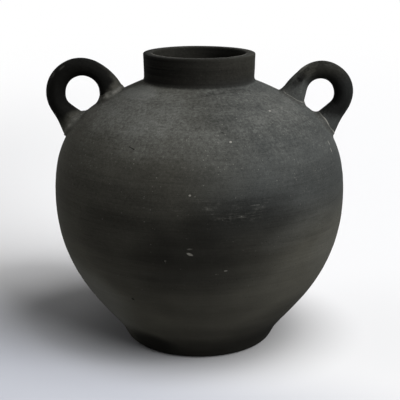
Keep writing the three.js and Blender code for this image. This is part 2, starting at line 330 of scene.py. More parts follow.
# Single marks on the body: the same, but MARK_EDGE is the edge of all of them
PALE_MARKS = (
    (0.9, 13.4, 232.9, 2.4, 2.1), (0.4, 11.8, 238.6, 1.3, 1), (0.85, 44.1, 252.5, 3.2, 2.2, 10),
    (0.65, -3.3, 189.4, 2, 1.8), (0.44, -3.3, 134.2, 6.2, 2.4, -20), (0.18, -3.4, 139.5, 5, 1.4, 5),
    (0.3, -12.4, 126.5, 2, 1.8), (0.35, 9.8, 116.6, 3.4, 1.4, 5), (0.9, 70.2, 216.8, 5, 1.4, 80),
    (0.8, 68.6, 210.4, 4.2, 1.4, 84),
)
DARK_MARKS = (
    (0.75, -28.6, 225.8, 8.5, 1, -20), (0.7, -29.4, 78.2, 3.2, 2.7), (0.6, 10.8, 240, 3, 1.2, -25),
    (0.35, -12.9, 126.2, 3, 3),
)
# Dark blots, and pale streaks that are rubbed clay and painted highlights, on the loops: strength, distance to
# the right of the axis, height, length and breadth in millimetres, tilt in degrees
BLOTS = {
    "left": (),
    "right": ((0.62, 98.8, 271.4, 10.5, 7, 40), (0.6, 102.6, 276.6, 10.5, 6.8, 50),
              (0.42, 107.4, 283.8, 6.5, 3.4, 30)),
}
RUBBED_AND_HIGHLIT = {
    "left": ((0.09, -138, 285.4, 7.5, 1.8, 40), (0.08, -147, 278, 6, 2, 55)),
    "right": ((0.25, 105, 284.2, 14, 1.6, 40),),
}
CLOUD_EDGE, MARK_EDGE, LOOP_EDGE = 0.9, 0.5, 0.8

LOOP_FACE, LOOP_HALF = -0.012, 0.03      # a blot's place and half depth along Y on a handle
BODY_MARK_POINTS = 200                   # points along each bowl's outline for the places of its marks
LINE_CLOUD = 0.02                        # how far the clouds bend a level belt up and down

# Belts and wear of the body: heights, or distances to the right of the axis, at which each starts to show, is
# full, starts to fade and is gone
COOL_BELT = (0.130, 0.185, 0.268, 0.285)
SCUFFED_BELT = (0.162, 0.170, 0.178, 0.188)
SCUFFED_WIDTH = (-0.03, 0.0, 0.05, 0.08)
# Edges of single regions, from where they don't show to where they are full
NECK_SOOT = (0.2718, 0.2740)
# Heights over which the clay turns darker towards the foot, reaching higher on the right
FOOT_DARKENING = (0.040, 0.006)
SANDY_FROM = (0.08, 0.24)
LINED_FROM = (0.05, 0.15)
SPECKED_FROM = (0.08, 0.20)
# Where the painted highlight on the rim's near inner edge lies
RIM_TOP = (0.2970, 0.2985)
RIM_INSIDE = (0.0500, 0.0485)


def oval(place, edge, raggedness, centre, spans):
    """1 within an oval and 0 off it. Spans are its axes, each half as long as the oval. The edge is the share
    over which it fades."""
    off = place.vector("SUBTRACT", tuple(centre))
    total = raggedness
    for span in spans:
        part = off.vector("DOT_PRODUCT", tuple(span / np.dot(span, span)), "Value")
        total = total + part * part
    return total.rising(1 + edge, 1 - edge)


def spot(place, outline, raggedness, turn, height, long, short, tilt=0.0, edge=CLOUD_EDGE):
    """An oval that lies on the body's skin."""
    height, long, short = height / 1000, long / 1000, short / 1000
    nearest = int(np.argmin(np.abs(outline[:, 1] - height)))
    slope = unit(outline[nearest + 1] - outline[nearest - 1])
    turn, tilt = math.radians(turn), math.radians(tilt)
    out = np.array([math.sin(turn), -math.cos(turn), 0.0])
    around = np.array([math.cos(turn), math.sin(turn), 0.0])
    up = out * slope[0] + np.array([0.0, 0.0, slope[1]])
    centre = out * outline[nearest][0] + np.array([0.0, 0.0, height])
    spans = ((around * math.cos(tilt) + up * math.sin(tilt)) * long / 2,
             (up * math.cos(tilt) - around * math.sin(tilt)) * short / 2,
             np.cross(around, up) * long / 2)
    return oval(place, edge, raggedness, centre, spans)


def loop_spot(place, raggedness, across, height, long, short, tilt):
    """An oval that goes through a handle along Y."""
    across, height, long, short = across / 1000, height / 1000, long / 1000, short / 1000
    tilt = math.radians(tilt)
    spans = (np.array([math.cos(tilt), 0.0, math.sin(tilt)]) * long / 2,
             np.array([-math.sin(tilt), 0.0, math.cos(tilt)]) * short / 2, np.array([0.0, LOOP_HALF, 0.0]))
    return oval(place, LOOP_EDGE, raggedness, (across, LOOP_FACE, height), spans)


def clay_material(name, finish, sizes=None, slip=None, pulled=None, soot=0.0, chalk=1.0):
    """Matt fired clay: clouds from the kiln, lines left by the wheel or the hand, chalk, grit and fine grain.
    The body's sizes add the body's belts and single marks. A slip colour makes it a coil's clay, and pulled
    names the side of a handle."""
    material = bpy.data.materials.new(name)
    tree = emptied_tree(material)
    place = add_node(tree, "ShaderNodeTexCoord", output="Object")
    x, y, z = place.parts()
    facing = add_node(tree, "ShaderNodeNewGeometry", output="Normal").parts()[2]
    # Patterns in waves to the metre: fine across the lines and long along them
    if pulled is not None:
        along = attribute(tree, "pulled", "Vector")
        lines = noise(along.stretched(330, 330, 14), detail=4.0, roughness=0.6)
        scratches = noise(along.stretched(1200, 1200, 60))
        bands = noise(along.stretched(60, 60, 25))
    else:
        lines = noise(place.stretched(8, 8, 400), detail=4.0, roughness=0.6)
        scratches = noise(place.stretched(70, 70, 1300), detail=3.0, roughness=0.6)
        bands = noise(place.stretched(2.5, 2.5, 40))
    clouds = noise(place, 7.0, 3.0, 0.55)
    mottle = noise(place, 62.0, 5.0, 0.65)
    pebble = noise(place, 360.0, 4.0, 0.7)
    grain = noise(place, 1300.0, 3.0, 0.6)
    level = z + clouds * LINE_CLOUD

    # The kiln's colours: warm and cool clay, then the soot that the smoke left, with painted shade in it: the neck
    # is darker on its left and the coils' groove is darker. The clay is also darker towards the foot
    coolness = z.within(*COOL_BELT) * (x + clouds * 0.08).rising(-0.04, 0.06)
    body = mixed(tree, coolness, finish.warm, finish.cool)
    if slip is not None:
        body = body.covered(0.5, slip)
        smoke_and_shade = (attribute(tree, "sooty") * 1.3 + mottle * 0.8).rising(0.25, 1.1) * 0.85
    elif pulled is not None:
        rise, section = attribute(tree, "rise"), along.parts()[0]
        smoke_and_shade = (rise * 1.4 + clouds * 1.5 + mottle * 1.3 - section * 26 - 0.22).rising(0.0, 0.9) * soot
        for strength, *blot in BLOTS[pulled]:
            smoke_and_shade = smoke_and_shade + loop_spot(place, mottle * 2.2 + pebble * 1.2, *blot) * strength
    else:
        inside = attribute(tree, "inside")
        # The neck's dark clay, with painted shade that makes it darker towards its left side, away from the light
        neck = (z - y * 0.03 + clouds * 0.006 + mottle * 0.002).rising(*NECK_SOOT)
        smoke_and_shade = (neck * (0.78 - x * (1 - inside) * 3.5 - inside * 0.06 + lines * 0.45)
                 + (level - x * 0.18).rising(*FOOT_DARKENING) * 0.85)
    body = body.covered(clouds.rising(0.0, -0.2) * 0.15 + smoke_and_shade, finish.soot)

    # Chalk and painted light: a pale film on faces that look up, partly chalk and partly painted light from above,
    # and where the smoke didn't reach
    pale_film_and_light = facing.rising(0.1, 1.0) * (0.33 + pebble * 1.1 + mottle * 0.8) * chalk
    if slip is not None:
        # The coils' pale ridge, which is rubbed clay and a painted highlight
        body = body.covered(attribute(tree, "edge") * mottle.rising(-0.25, 0.1), finish.grit)
    if pulled is not None:
        pale_film_and_light = pale_film_and_light + rise.rising(0.3, 0.0) * (mottle * 1.2 + 0.4) * 0.9
    if sizes is not None:
        outline = np.concatenate([lower_outline(sizes, BODY_MARK_POINTS), upper_outline(sizes, BODY_MARK_POINTS)])
        drift = clouds * 1.2 + bands * 0.8
        # Clouds of soot, some of them painted shade, and of chalk, some of them painted light
        for strength, *cloud in SMOKE_AND_SHADE:
            body = body.covered(spot(place, outline, drift, *cloud) * strength, finish.soot)
        for strength, *cloud in CHALK_AND_LIGHT:
            pale_film_and_light = pale_film_and_light + spot(place, outline, drift, *cloud) * strength
    body = body.covered(pale_film_and_light.rising(0.0, 1.1) * (1 - smoke_and_shade * 0.85), finish.dust)

    # Light and dark from the lines and the grain
    sandy = z.rising(*SANDY_FROM) * 0.85 + 0.15
    lined = z.rising(*LINED_FROM) * 0.6 + 0.4
    body = body.scaled(1 + (bands * 0.8 + lines * 0.45 + scratches * 0.45) * lined
                       + mottle * 0.3 + pebble * sandy * 0.85 + grain * sandy * 1.2)
    # Pale streaks on the loops: rubbed clay, and painted highlights along their upper and outer edges
    if pulled is not None:
        for strength, *streak in RUBBED_AND_HIGHLIT[pulled]:
            rubbed_and_highlit = loop_spot(place, pebble * 3.0 + mottle * 2.0, *streak)
            body = body.covered(rubbed_and_highlit * strength, finish.grit)

    # Specks of grit and small pits, in cells chosen at random
    cells = add_node(tree, "ShaderNodeTexVoronoi", {"Vector": place, "Scale": 520.0, "Randomness": 1.0})
    chosen = add_node(tree, "ShaderNodeSeparateColor", {0: cells.out("Color")})
    rich = facing.rising(-0.1, 0.8) * 0.18 + mottle * 0.5
    specks = (cells - chosen.out("Blue") * 0.3).rising(0.08, -0.06) * (chosen + rich).rising(0.90, 1.06) * chalk
    pits = (cells - chosen.out("Red") * 0.2).rising(0.12, 0.0) * chosen.out("Green").rising(0.925, 0.945)
    body = body.covered(specks * (1 - smoke_and_shade) * (z.rising(*SPECKED_FROM) * 0.20 + 0.13), finish.grit)
    body = body.covered(pits * 0.6, finish.soot)
    relief = lines * 0.00010 + scratches * 0.00004 + grain * 0.00006 + (pebble + mottle - pits) * 0.00012
    if sizes is not None:
        scuffed = (level.within(*SCUFFED_BELT) * x.within(*SCUFFED_WIDTH) * y.rising(-0.06, -0.10)
                   + z.rising(0.17, 0.20) * x.rising(0.04, 0.12) * 0.4)
        dashes = (scratches + mottle * 1.1 + pebble * 0.5).rising(0.05, 0.35) * scuffed
        body = body.covered(dashes * 0.15, finish.grit)
        # A painted highlight along the near inner edge of the rim
        rim_highlight = (calculate("SQRT", x * x + y * y).rising(*RIM_INSIDE) * z.rising(*RIM_TOP) * y.rising(0.0, -0.03)
                * (mottle * 0.8 + 0.6))
        body = body.covered(rim_highlight, finish.grit)
        relief = relief + dashes * 0.00010
        ragged = pebble * 2.6
        for tint, marks, depth in ((finish.grit, PALE_MARKS, -0.0003), (finish.soot, DARK_MARKS, -0.0005)):
            for strength, *mark in marks:
                fleck = spot(place, outline, ragged, *mark, edge=MARK_EDGE)
                body = body.covered(fleck * strength, tint)
                relief = relief + fleck * depth
    show(add_node(tree, "ShaderNodeBsdfPrincipled", {
        "Base Color": body, "Roughness": 0.66 + mottle * 0.3 + lines * 0.2 + pale_film_and_light * 0.12, "IOR": finish.index,
        "Normal": add_node(tree, "ShaderNodeBump", {"Strength": 1.0, "Distance": 1.0, "Height": relief}),
    }), "ShaderNodeOutputMaterial")
    return material


# ---- Outlines, as points (distance from the axis, height) ----

def polar(turn, reach):
    return np.array([math.cos(turn), math.sin(turn)]) * reach


def unit(vectors):
    return vectors / np.linalg.norm(vectors, axis=-1, keepdims=True)


def outward(points):
    """The normals of an outline, towards its right as it runs."""
    tangent = unit(np.gradient(points, axis=0))
    return np.stack([tangent[:, 1], -tangent[:, 0]], axis=1)


def cubic(start, pull, push, end, count):
    t = np.linspace(0.0, 1.0, count)[:, None]
    return ((1 - t) ** 3 * start + 3 * t * (1 - t) ** 2 * pull + 3 * t ** 2 * (1 - t) * push + t ** 3 * end)


def corner(before, apex, after, reach, count=6):
    """A soft corner that starts and ends at a reach from its apex."""
    start, end = apex + unit(before - apex) * reach, apex + unit(after - apex) * reach
    t = np.linspace(0.0, 1.0, count)[:, None]
    return (1 - t) ** 2 * start + 2 * t * (1 - t) * apex + t ** 2 * end


def shifted(points, distance):
    """An outline moved square to itself, outwards by a positive distance."""
    return points + outward(points) * distance


def lower_outline(sizes, count):
    start, end = np.array([sizes.foot_top, FOOT_TOP]), np.array([sizes.belly, BELLY_HEIGHT])
    return cubic(start, start + polar(sizes.flare_angle, sizes.flare_pull), end - (0, sizes.lower_pull), end, count)


def upper_outline(sizes, count):
    start, end = np.array([sizes.belly, BELLY_HEIGHT]), np.array([sizes.neck, NECK_BASE])
    return cubic(start, start + (0, sizes.upper_pull), end + polar(-sizes.shoulder_slope, sizes.shoulder_pull),
                 end, count)


LOWER_POINTS, UPPER_POINTS = 84, 78      # points along the two bowls' outlines
# How far the body's small soft corners reach: the bore's top and foot, the joint over the foot, the throat and
# the inner floor
BORE_TOP, BORE_FOOT, FOOT_JOINT, THROAT, INNER_FLOOR = 0.002, 0.0015, 0.003, 0.0028, 0.006


def body_profile(sizes):
    """The whole skin's outline, from the axis under the floor, over the rim and back to the axis inside.
    With it comes a mask that is 1 inside the vase."""
    lower, upper = lower_outline(sizes, LOWER_POINTS), upper_outline(sizes, UPPER_POINTS)
    lean = (sizes.foot_top - sizes.foot_base) / FOOT_TOP
    turns = np.linspace(-math.pi / 2, 0.0, 7)
    edge_height = sizes.foot_edge * (1 + np.sin(turns))
    edge = np.stack([sizes.foot_base + lean * edge_height - sizes.foot_edge * (1 - np.cos(turns)), edge_height], 1)
    at = lambda radius, height: np.array([radius, height])
    under, bore_top, bore_foot = at(0, sizes.recess), at(sizes.foot_bore, sizes.recess), at(sizes.foot_bore, 0)
    foot_joint, neck_joint = at(sizes.foot_top, FOOT_TOP), at(sizes.neck, NECK_BASE)
    rim_outer, rim_inner = at(sizes.rim, RIM_HEIGHT), at(sizes.mouth, RIM_HEIGHT)
    outside = [
        np.linspace(under, bore_top, 14)[:-1],
        corner(under, bore_top, bore_foot, BORE_TOP),
        corner(bore_top, bore_foot, edge[0], BORE_FOOT),
        edge,
        corner(edge[-1], foot_joint, lower[3], FOOT_JOINT),
        lower[3:-1],
        upper[:-3],
        corner(upper[-6], neck_joint, rim_outer, sizes.neck_hollow, 10),
        np.linspace(neck_joint, rim_outer, 13)[3:-1],
        corner(neck_joint, rim_outer, rim_inner, sizes.rim_edge),
    ]
    inner_upper, inner_lower = (shifted(bowl, -sizes.wall)[::-3] for bowl in (upper, lower))
    slope = inner_upper[0] - inner_upper[1]
    throat = inner_upper[0] + slope * (sizes.mouth - inner_upper[0][0]) / slope[0]
    floor_top = sizes.recess + sizes.floor
    fall = inner_lower[-1] - inner_lower[-2]
    floor_corner = inner_lower[-1] + fall * (floor_top - inner_lower[-1][1]) / fall[1]
    inside = [
        corner(rim_outer, rim_inner, throat, sizes.rim_edge),
        np.linspace(rim_inner, throat, 12)[1:-1],
        corner(rim_inner, throat, inner_upper[0], THROAT),
        inner_upper[1:-1],
        inner_lower[:-1],
        corner(inner_lower[-2], floor_corner, at(0, floor_top), INNER_FLOOR),
        np.linspace(floor_corner, at(0, floor_top), 14)[2:],
    ]
    outline = np.concatenate(outside + inside)
    mask = np.concatenate([np.zeros(sum(map(len, outside))), np.ones(sum(map(len, inside)))])
    step = np.linalg.norm(np.diff(outline, axis=0), axis=1)
    kept = np.concatenate([[True], step > 1e-6])
    return outline[kept], mask[kept]


class Shoulder:
    """The upper bowl's outer face, for seating the handles."""

    def __init__(self, sizes):
        self.points = upper_outline(sizes, 2000)
        self.normals = outward(self.points)

    def at_radius(self, radius):
        """The point and the normal at a distance from the axis."""
        radii = self.points[::-1, 0]
        return tuple(np.stack([np.interp(radius, radii, values[::-1, k]) for k in (0, 1)], -1)
                     for values in (self.points, self.normals))

    def height_of(self, place):
        """How far points in space lie above the clay, square to it."""
        radius = np.hypot(place[..., 0], place[..., 1])
        level = radius - np.interp(place[..., 2], self.points[:, 1], self.points[:, 0])
        return level * np.interp(place[..., 2], self.points[:, 1], self.normals[:, 0])

    def on_clay(self, place, lift):
        """Points dropped or raised onto the clay at their own distance from the axis, and lifted off it."""
        radius = np.hypot(place[..., 0], place[..., 1])
        point, normal = self.at_radius(radius)
        out = place[..., :2] / radius[..., None]
        reach = point[..., 0] + normal[..., 0] * lift
        return np.concatenate([out * reach[..., None], (point[..., 1] + normal[..., 1] * lift)[..., None]], -1)


# ---- Handles ----

HANDLE_RINGS, HANDLE_SIDES, COIL_SIDES, COIL_STEPS = 120, 52, 88, 17
HANDLE_SEEDS = {"left": 11, "right": 12}
COIL_SEEDS = {"left": 30, "right": 40}
LEG_EXTRA = 0.014                        # how far a leg runs on past the shoulder's level, into the clay
BURIED = 0.0035                          # how deep under the clay a handle's skin ends
ROOT_SHARE = 0.4                         # the share of a handle's length over which its rings follow a root
ELBOW_BACK, ELBOW_SPREAD = 0.004, 0.014  # the elbow's place before the end of the bend, and its half length
INNER_REACH = 1.45                       # how many times as high the lower swell reaches on the inside
DENTS = ((0.030, 0.0004, 0), (0.009, 0.00006, 50))    # reach and depth of the dents, and what their seed adds
LOWER_BULGE = 3.0                        # how far a lower coil climbs the handle's sides, in heights of its lip
# How a coil wanders in its climb, its spread and its lip: reach and depth
COIL_WANDER = ((1.3, 0.0016), (1.1, 0.0018), (0.8, 1.4))
FEATHER = 0.00012                        # how far a coil's thin edges stand proud of the clay under them


class HandleForm:
    """One handle's surface, by the length along its centre line and the turn round its section."""

    def __init__(self, sizes, shoulder):
        self.sizes = sizes
        self.shoulder = shoulder
        seat, normal = shoulder.at_radius(sizes.seat_radius)
        self.centre = seat + normal * sizes.stand_off
        square = math.atan2(normal[1], normal[0])
        self.start_turn = square + sizes.upper_turn
        self.end_turn = square - sizes.lower_turn
        self.leg = sizes.stand_off + LEG_EXTRA
        self.bend = sizes.loop_radius * (self.start_turn - self.end_turn)
        self.length = 2 * self.leg + self.bend
        self.upper_root = self._crossing(np.linspace(self.leg, 0.0, 400))
        self.lower_root = self._crossing(np.linspace(self.length - self.leg, self.length, 400))

    def line(self, along):
        """Centre line and outward direction in the loop's plane."""
        along = np.asarray(along, float)
        turn = self.start_turn - np.clip(along - self.leg, 0.0, self.bend) / self.sizes.loop_radius
        out = np.stack([np.cos(turn), np.sin(turn)], -1)
        forward = np.stack([out[..., 1], -out[..., 0]], -1)
        straight = np.minimum(along - self.leg, 0.0) + np.maximum(along - self.leg - self.bend, 0.0)
        return self.centre + out * self.sizes.loop_radius + forward * straight[..., None], out

    def _crossing(self, along):
        """The first length in the list at which the centre line is under the clay."""
        point, _ = self.line(along)
        place = np.stack([point[:, 0], np.zeros(len(point)), point[:, 1]], -1)
        return along[np.argmax(self.shoulder.height_of(place) < 0)]

    def surface(self, along, turn, growth=0.0):
        """Points of the skin, or of a skin that has grown all round."""
        sizes = self.sizes
        point, out = self.line(along)

        def near_root(distance, reach):
            """1 at a root, falling to 0 at a reach from it."""
            return 1 - np.clip(distance / reach, 0, 1)

        upper = near_root(along - self.upper_root, sizes.upper_reach) ** 1.5
        lower = near_root(self.lower_root - along, sizes.lower_reach) ** 1.5
        lower_inside = near_root(self.lower_root - along, INNER_REACH * sizes.lower_reach) ** 2
        swell = np.where(np.cos(turn) > 0, sizes.upper_outer * upper + sizes.lower_outer * lower,
                         sizes.upper_inner * upper + sizes.lower_inner * lower_inside)
        swell = swell + sizes.plump * (out[..., 0] - 0.6 * out[..., 1])
        swell = swell + sizes.elbow * np.exp(-((along - self.leg - self.bend + ELBOW_BACK) / ELBOW_SPREAD) ** 2)
        depth = np.cos(turn) * (sizes.thickness / 2 + swell + growth)
        across = np.sin(turn) * (sizes.width / 2 + sizes.side_swell * (upper + lower) + growth)
        flat = point + out * depth[..., None]
        return np.stack([flat[..., 0], across, flat[..., 1]], -1)

    def along_at_height(self, turn, height, upper=True):
        """For each turn round the section, the length at which the skin is at a height above the clay."""
        root, sign = (self.upper_root, 1.0) if upper else (self.lower_root, -1.0)
        steps = np.linspace(-0.03, 0.035, 1300)
        along = root + sign * steps[:, None] + np.zeros_like(turn)[None, :]
        place = self.surface(along, np.broadcast_to(turn, along.shape))
        first = np.argmax(self.shoulder.height_of(place) > height, axis=0)
        return along[first, np.arange(len(turn))]


def placed(name, data):
    """A new object in the scene."""
    made = bpy.data.objects.new(name, data)
    bpy.context.scene.collection.objects.link(made)
    return made


def mesh_object(name, vertices, faces, material):
    """A smooth mesh piece whose place is in its vertices."""
    mesh = bpy.data.meshes.new(name)
    mesh.from_pydata([tuple(v) for v in vertices], [], faces)
    mesh.materials.append(material)
    mesh.shade_smooth()
    mesh.validate()
    return placed(name, mesh)


def store(mesh, name, values, kind="FLOAT"):
    """Gives each point of a mesh a number, or a vector."""
    values = np.asarray(values, np.float32).ravel()
    mesh.attributes.new(name, kind, "POINT").data.foreach_set("value" if kind == "FLOAT" else "vector", values)


def wrapped_faces(rows, columns, close_rows=False):
    """Quads over a grid whose columns close on themselves, and its rows too if asked."""
    faces = []
    for row in range(rows if close_rows else rows - 1):
        for column in range(columns):
            beside, after = (column + 1) % columns, (row + 1) % rows
            faces.append((row * columns + column, row * columns + beside,
                          after * columns + beside, after * columns + column))
    return faces


def facing_out(piece):
    """Turns the faces of a closed piece outwards."""
    mesh = piece.data
    mesh.calc_loop_triangles()
    points = np.array([v.co for v in mesh.vertices], float)
    corners = points[np.array([t.vertices for t in mesh.loop_triangles])]
    if np.einsum("ij,ij->i", corners[:, 0], np.cross(corners[:, 1], corners[:, 2])).sum() < 0:
        mesh.flip_normals()


def uneven(place, reach, depth, seed):
    """A slow, repeatable wander for points, of a given depth, from a few waves in chosen directions."""
    waves = 7
    chooser = np.random.default_rng(seed)
    total = np.zeros(place.shape[:-1])
    for _ in range(waves):
        direction = chooser.normal(size=3)
        direction /= np.linalg.norm(direction) * reach * chooser.uniform(0.6, 1.5)
        total += np.sin(place @ direction * 2 * math.pi + chooser.uniform(0, 2 * math.pi))
    return total * depth / waves


def mirrored(place, side):
    """Left-hand pieces are made on the right and turned half a turn about the axis."""
    return place * (-1, -1, 1) if side == "left" else place


def make_handle(side, sizes, shoulder, material):
    """The skin of one pulled loop, closed by a fan at each buried end."""
    form = HandleForm(sizes, shoulder)
    turn = np.linspace(0.0, 2 * math.pi, HANDLE_SIDES, endpoint=False)
    start, end = (form.along_at_height(turn, -BURIED, upper) for upper in (True, False))
    share = np.linspace(0.0, 1.0, HANDLE_RINGS)[:, None]
    middle = start.mean() + (end.mean() - start.mean()) * share
    near, far = (np.clip(1 - distance / ROOT_SHARE, 0, 1) ** 2 for distance in (share, 1 - share))
    along = middle + (start - start.mean()) * near + (end - end.mean()) * far
    turns = np.broadcast_to(turn, along.shape)
    plain = form.surface(along, turns)
    dents = sum(uneven(plain, reach, depth, HANDLE_SEEDS[side] + more) for reach, depth, more in DENTS)
    place = form.surface(along, turns, dents)
    vertices = np.concatenate([place.reshape(-1, 3), [place[0].mean(0), place[-1].mean(0)]])
    faces = wrapped_faces(HANDLE_RINGS, HANDLE_SIDES)
    last, poles = (HANDLE_RINGS - 1) * HANDLE_SIDES, HANDLE_RINGS * HANDLE_SIDES
    for column in range(HANDLE_SIDES):
        beside = (column + 1) % HANDLE_SIDES
        faces += [(poles, beside, column), (poles + 1, last + column, last + beside)]
    piece = mesh_object(f"{side}_handle_skin", mirrored(vertices, side), faces, material)

    # How deep in the smoke each point lay, by its height. Soot that leans is full at a lower height on the inside
    # above and on the outside below
    smoked = np.clip((share - sizes.clean) / 0.2, 0, 1) if sizes.clean else np.ones_like(share)
    smoked = np.concatenate([np.repeat(smoked, HANDLE_SIDES), [smoked[0, 0], smoked[-1, 0]]])
    under = np.append(((1 - np.cos(turns)) / 2).ravel(), [0.5, 0.5])
    low = np.append(np.clip((np.repeat(share, HANDLE_SIDES) - 0.6) / 0.3, 0, 1), [0.0, 1.0])
    reach = sizes.smoke_reach * (1 + sizes.smoke_lean * (0.1 - 0.45 * under + low * (1.15 * under - 0.35)))
    store(piece.data, "rise", np.clip(shoulder.height_of(vertices) / reach, 0, 1) * smoked)
    # The pattern's own place: a round bar pulled out straight
    pulled = np.stack([np.cos(turns) * 0.012, np.sin(turns) * 0.012, along], -1)
    pulled = np.concatenate([pulled.reshape(-1, 3), [pulled[0].mean(0), pulled[-1].mean(0)]])
    store(piece.data, "pulled", pulled, "FLOAT_VECTOR")
    facing_out(piece)
    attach(piece, "root")
    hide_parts(f"handle_{side}")


def make_coil(side, end, sizes, shoulder, material):
    """The smeared coil of clay round one handle root: a hollow face between the handle and the shoulder."""
    form = HandleForm(sizes, shoulder)
    upper = end == "upper"
    lip, reach, under, width = (getattr(sizes, f"{end}_{part}") for part in ("lip", "climb", "under", "spread"))
    turn = np.linspace(0.0, 2 * math.pi, COIL_SIDES, endpoint=False)
    circle = np.stack([np.cos(turn), np.sin(turn), np.zeros(COIL_SIDES)], -1)
    seed = COIL_SEEDS[side] + (0 if upper else 5)
    climb_wander, spread_wander, lip_wander = (
        uneven(circle, *wander, seed + k) for k, wander in enumerate(COIL_WANDER))
    under_loop = (1 - np.cos(turn)) / 2
    bulge = 0.0 if upper else LOWER_BULGE * lip
    climb = reach + (under - reach) * under_loop + bulge * np.sin(turn) ** 2 + climb_wander
    spread = width * (1 + 0.4 * under_loop - 0.45 * np.clip(np.cos(turn), 0, 1) ** 2) + spread_wander
    lip = lip * np.clip(0.75 + lip_wander, 0, 1) * (1 - 0.7 * under_loop ** 3)

    base = form.surface(form.along_at_height(turn, 0.0, upper), turn)
    root, _ = form.line(form.upper_root if upper else form.lower_root)
    away = unit(base - (root[0], 0.0, root[1]))
    off_corner = unit(away + (shoulder.on_clay(base, 0.001) - shoulder.on_clay(base, 0.0)) / 0.001)
    rows = [form.surface(form.along_at_height(turn, height, upper), turn, growth) for height, growth in (
        (climb + 0.0004, -0.0008), (climb, -0.00008), (climb - 0.0006, FEATHER))]
    top, foot = rows[-1], shoulder.on_clay(base + away * (spread - 0.0010)[:, None], FEATHER)
    hollow = shoulder.on_clay(base + away * 0.0003, 0.0004) + off_corner * (under_loop ** 2 * 0.0012)[:, None]
    steps = np.linspace(0.0, 1.0, COIL_STEPS)
    ridge = np.exp(-((steps - sizes.ridge) / sizes.ridge_width) ** 2)
    groove = np.exp(-((steps - sizes.ridge - 1.9 * sizes.ridge_width) / (0.5 * sizes.ridge_width)) ** 2)
    groove *= 1.0 if upper else 0.3
    for t, raised, sunk in zip(steps[1:], ridge[1:], groove[1:]):
        smear = (1 - t) ** 2 * top + 2 * t * (1 - t) * hollow + t ** 2 * foot
        rows.append(smear + off_corner * (lip * (raised - sunk * 0.45 * (t < 0.97)))[:, None])
    outer = base + away * spread[:, None]
    rows += [shoulder.on_clay(outer, -0.00010), shoulder.on_clay(outer, -0.0010),
             shoulder.on_clay(base - away * 0.0012, -0.0022)]
    piece = mesh_object(f"{side}_{end}_luting_coil", mirrored(np.concatenate(rows), side),
                        wrapped_faces(len(rows), COIL_SIDES, close_rows=True), material)

    # The pale ridge, partly rubbed clay and partly a painted highlight, strongest where the lip is highest; the soot
    # in the upper edge, and painted shade in the groove
    rubbed_and_highlit = np.concatenate([[ridge[0]] * 3, ridge[1:], [0.0] * 3]) * sizes.ridge_pale
    fade = np.clip(1 - steps[1:] / max(0.7 * sizes.ridge, 0.1), 0, 1)
    sooty = np.concatenate([[1.0] * 3, fade, [0.0] * 3]) * sizes.coil_soot
    # Painted shade in the groove below the ridge
    sooty[3:-3] += (0.35 if upper else 0.1) * groove[1:] * (sizes.ridge > 0.2)
    high_lip = np.clip(1.25 * lip / max(lip.max(), 1e-6), 0, 1)
    store(piece.data, "edge", rubbed_and_highlit[:, None] * high_lip)
    store(piece.data, "sooty", np.repeat(sooty, COIL_SIDES))
    facing_out(piece)
    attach(piece, "root")
    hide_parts(f"handle_{side}_{end}_luting")


# ---- Thrown body ----

